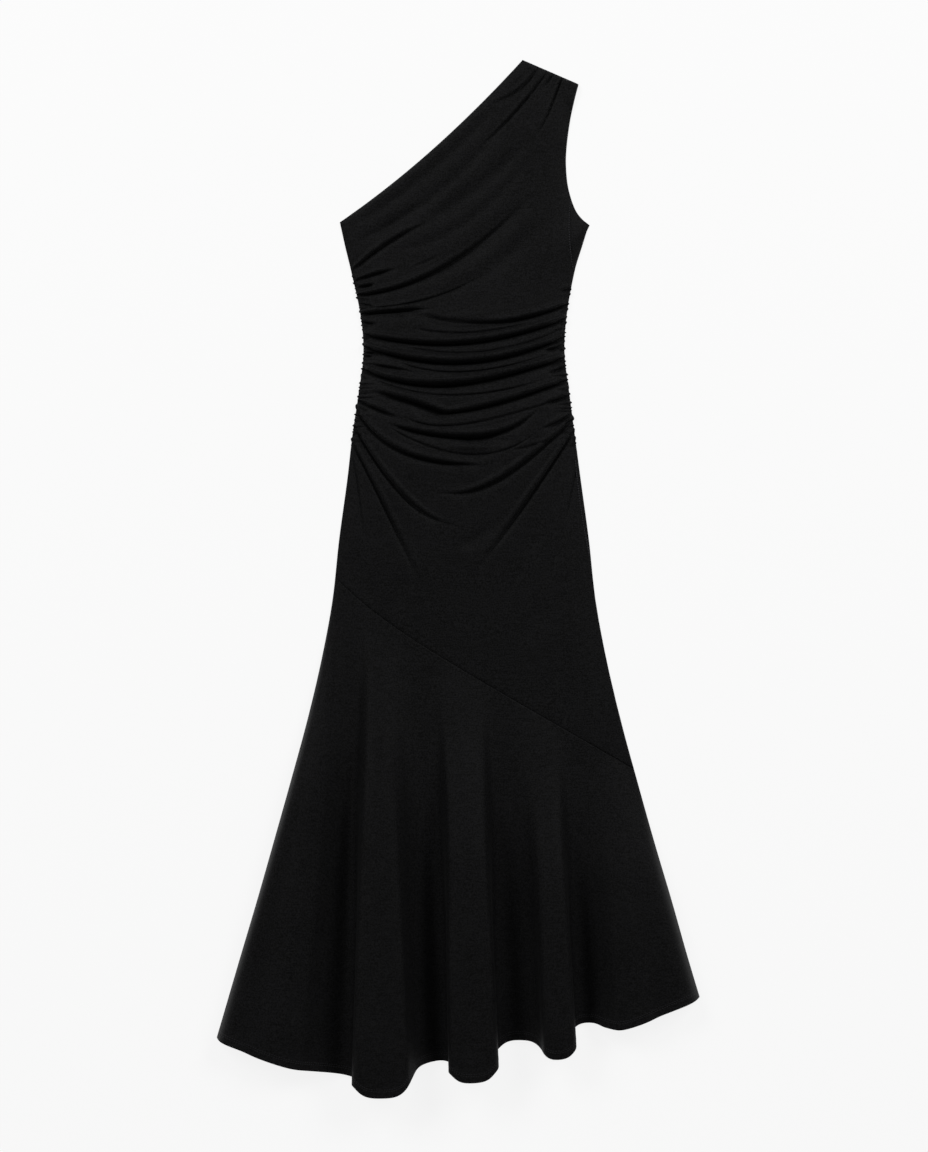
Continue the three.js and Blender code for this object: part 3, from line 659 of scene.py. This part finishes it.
def cloth_piece(name, grid, material):
    """A thin shell whose outer face is the grid, whose rows run from the top down."""
    down, across = grid.shape[:2]
    bm = bmesh.new()
    bmesh.ops.create_grid(bm, x_segments=across - 1, y_segments=down - 1, size=0.5)
    for vert, point in zip(bm.verts, grid[::-1].reshape(-1, 3) * MM):
        vert.co = point
    piece = smooth_piece(name, bm, material)
    shell = piece.modifiers.new("thickness", "SOLIDIFY")
    shell.thickness = CLOTH * MM
    shell.offset = -1
    return piece


def stitch_line(bm, path, thick, long):
    """Stitches laid end to end along a path of points in millimetres, half sunk in the cloth. Each is long
    times its span."""
    steps = np.linalg.norm(np.diff(path, axis=0), axis=1)
    run = np.concatenate(([0], np.cumsum(steps)))
    size = Vector((STITCH * long, thick * STITCH_WIDE, thick)) * MM
    for start in np.arange(STITCH_PITCH, run[-1] - STITCH_PITCH, STITCH_PITCH):
        a = Vector([np.interp(start, run, path[:, i]) for i in range(3)]) * MM
        b = Vector([np.interp(start + STITCH, run, path[:, i]) for i in range(3)]) * MM
        turn = (b - a).to_track_quat("X", "Z").to_matrix()
        for vert in bmesh.ops.create_icosphere(bm, subdivisions=1, radius=0.5)["verts"]:
            vert.co = (a + b) / 2 + turn @ (vert.co * size)


def hem_stitching(material):
    stations = hem_stations()
    length = np.hypot(stations["x"] - stations["seam"], stations["y"] - seam_height(stations["seam"])[0])
    bm = bmesh.new()
    for inset in HEM_STITCHES:
        stitch_line(bm, flounce_points(stations, 1 - inset / length), STITCH_THICK, STITCH_LONG)
    return smooth_piece("hem_stitching", bm, material)


def side_seam_highlight_bead(surface, material):
    """The turned edge of the right side seam, where it has rolled onto the front: a fine bead along
    SEAM_LINES, in the lighter thread, which paints the highlight that the edge catches."""
    bm = bmesh.new()
    t = np.linspace(0, 1, SEAM_STEPS)
    for k in range(len(SEAM_LINES["x0"])):
        f = row_of(SEAM_LINES, k)
        x = mix(f["x0"], f["x1"], t) - f["sag"] * hang(t, f["low"])
        y = mix(f["y0"], f["y1"], t)
        apart = np.hypot(surface[..., 0, None] - x, surface[..., 1, None] - y).reshape(-1, SEAM_STEPS)
        z = surface[..., 2].reshape(-1)[apart.argmin(axis=0)] + BEAD_LIFT
        stitch_line(bm, np.stack((x, y, z), -1), SEAM_BEAD, BEAD_LONG)
    return smooth_piece("side_seam_highlight_bead", bm, material)


def linear(hexadecimal):
    """An sRGB hex colour as linear red, green, blue and alpha."""
    parts = [int(hexadecimal[i:i + 2], 16) / 255 for i in (0, 2, 4)]
    return [p / 12.92 if p <= 0.04045 else ((p + 0.055) / 1.055) ** 2.4 for p in parts] + [1.0]


def add_node(tree, kind, sockets, **settings):
    """Adds a node, sets its settings, and fills its sockets with values or links."""
    made = tree.nodes.new(kind)
    for name, value in settings.items():
        setattr(made, name, value)
    for name, value in sockets.items():
        if isinstance(value, bpy.types.NodeSocket):
            tree.links.new(value, made.inputs[name])
        else:
            made.inputs[name].default_value = value
    return made


def per_metre(size):
    """How many times a pattern of that size in millimetres fits in a metre, the unit that materials read."""
    return 1 / (size * MM)


def material_named(name):
    material = bpy.data.materials.new(name)
    material.use_nodes = True
    tree = material.node_tree
    tree.nodes.clear()
    output = tree.nodes.new("ShaderNodeOutputMaterial")
    return material, tree, output


# The jersey's mottling, in millimetres. Its stitches, about 0.5 mm wide, are too fine to show from the photo's
# camera, so its grain and slubs are drawn as coarse as they need to show.
GRAIN = 5 / 3
SLUB = (100 / 7, 25 / 14, 10 / 3)  # along its courses, across them and through the cloth
PATCH = 500 / 7
SLUB_SHARE = 0.25  # how much its slubs count beside its grain
PATCH_SHARE = 0.1
TWIST = 1 / 3  # the thread's, at its real size


# Fine matte jersey: near-black, with a fine mottled grain, faint slubs along its courses and hardly any sheen
def black_jersey():
    material, tree, output = material_named("black_jersey")
    place = add_node(tree, "ShaderNodeTexCoord", {}).outputs["Object"]
    slub_scale = [per_metre(size) for size in SLUB]
    along_courses = add_node(tree, "ShaderNodeMapping", {"Vector": place, "Scale": slub_scale})
    slub = add_node(tree, "ShaderNodeTexNoise", {
        "Vector": along_courses.outputs["Vector"], "Scale": 1.0, "Detail": 1.0,
    })
    grain = add_node(tree, "ShaderNodeTexNoise", {"Vector": place, "Scale": per_metre(GRAIN), "Detail": 4.0})
    patch = add_node(tree, "ShaderNodeTexNoise", {"Vector": place, "Scale": per_metre(PATCH), "Detail": 2.0})
    patches = add_node(tree, "ShaderNodeMath", {0: patch.outputs["Fac"], 1: PATCH_SHARE}, operation="MULTIPLY")
    streaks = add_node(tree, "ShaderNodeMath", {
        0: slub.outputs["Fac"], 1: SLUB_SHARE, 2: patches.outputs[0],
    }, operation="MULTIPLY_ADD")
    tone = add_node(tree, "ShaderNodeMath", {0: grain.outputs["Fac"], 1: streaks.outputs[0]}, operation="ADD")
    shade = add_node(tree, "ShaderNodeMapRange", {
        "Value": tone.outputs[0], "From Min": 0.55, "From Max": 0.80,
    })
    colour = add_node(tree, "ShaderNodeMix", {"Factor": shade.outputs["Result"]}, data_type="RGBA")
    colour.inputs["A"].default_value = linear("0a0a0a")
    colour.inputs["B"].default_value = linear("1c1c1d")
    bump = add_node(tree, "ShaderNodeBump", {
        "Height": grain.outputs["Fac"], "Strength": 0.25, "Distance": 0.2 * MM,
    })
    shader = add_node(tree, "ShaderNodeBsdfPrincipled", {
        "Roughness": 0.62, "Specular IOR Level": 0.07, "Sheen Weight": 0.02, "Sheen Roughness": 0.4,
        "Normal": bump.outputs["Normal"],
    })
    tree.links.new(colour.outputs["Result"], shader.inputs["Base Color"])
    tree.links.new(shader.outputs["BSDF"], output.inputs["Surface"])
    return material


# Polyester thread: a little more gloss than the cloth, and a lighter grey that paints a highlight on its
# stitches
def thread_painted_highlight():
    material, tree, output = material_named("thread_painted_highlight")
    place = add_node(tree, "ShaderNodeTexCoord", {}).outputs["Object"]
    twist = add_node(tree, "ShaderNodeTexNoise", {"Vector": place, "Scale": per_metre(TWIST), "Detail": 2.0})
    bump = add_node(tree, "ShaderNodeBump", {
        "Height": twist.outputs["Fac"], "Strength": 0.3, "Distance": 0.1 * MM,
    })
    shader = add_node(tree, "ShaderNodeBsdfPrincipled", {
        # painted highlight: a grey lighter than the cloth's, so that stitch rows and the seam's edge show as
        # lit lines
        "Base Color": linear("29292b"), "Roughness": 0.6, "Specular IOR Level": 0.15,
        "Normal": bump.outputs["Normal"],
    })
    tree.links.new(shader.outputs["BSDF"], output.inputs["Surface"])
    return material


# White studio sweep: a matte grey that glows close to pure white
def studio_white():
    material, tree, output = material_named("studio_white")
    shader = add_node(tree, "ShaderNodeBsdfPrincipled", {
        "Base Color": linear("707070"), "Roughness": 0.9, "Specular IOR Level": 0.1,
        "Emission Color": linear("ffffff"), "Emission Strength": 0.855,
    })
    tree.links.new(shader.outputs["BSDF"], output.inputs["Surface"])
    return material


def studio_floor():
    bm = bmesh.new()
    bmesh.ops.create_grid(bm, x_segments=1, y_segments=1, size=FLOOR_REACH)
    smooth_piece("studio_floor", bm, studio_white())


def softbox(name, side):
    """One of two equal softboxes towards the shoulder: side is -1 on the left and 1 on the right."""
    data = bpy.data.lights.new(name, "AREA")
    data.shape = "RECTANGLE"
    data.size, data.size_y = SOFTBOX_SIZE
    data.energy = SOFTBOX_POWER
    light = bpy.data.objects.new(name, data)
    light.location = Vector(SOFTBOX_PLACE) * Vector((side, 1, 1))
    light.rotation_euler = (Vector(SOFTBOX_AIM) - light.location).to_track_quat("-Z", "Y").to_euler()
    bpy.context.scene.collection.objects.link(light)


def studio_light():
    world = bpy.data.worlds.new("studio")
    world.use_nodes = True
    background = world.node_tree.nodes["Background"]
    background.inputs["Color"].default_value = linear("ffffff")
    background.inputs["Strength"].default_value = WORLD_STRENGTH
    bpy.context.scene.world = world
    softbox("left_softbox", -1)
    softbox("right_softbox", 1)
    bpy.context.scene.view_settings.view_transform = "Standard"


def photo_camera():
    data = bpy.data.cameras.new("photo_camera")
    data.lens = LENS
    data.sensor_width = SENSOR
    data.sensor_fit = "AUTO"
    camera = bpy.data.objects.new("photo_camera", data)
    height = PHOTO_COVERS * LENS / SENSOR + FRONT_EDGE
    camera.location = Vector((*PHOTO_MIDDLE, height)) * MM
    data.clip_end = CAMERA_SEES
    bpy.context.scene.collection.objects.link(camera)
    bpy.context.scene.camera = camera


def build():
    jersey = black_jersey()
    grids = {
        "front_upper": front_upper_grid(),
        "back_upper": back_upper_grid(),
        "front_flounce": front_flounce_grid(),
        "back_flounce": back_flounce_grid(),
    }
    cloth = {}
    for node, grid in grids.items():
        cloth[node] = cloth_piece(node + "_cloth", grid, jersey)
        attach(cloth[node], "root")
        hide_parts(node)
    highlight_thread = thread_painted_highlight()
    stitches = hem_stitching(highlight_thread)
    seam_highlight_bead = side_seam_highlight_bead(grids["front_upper"], highlight_thread)
    for trim in (stitches, seam_highlight_bead):
        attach(trim, "root")


studio_floor()
studio_light()
photo_camera()
build()
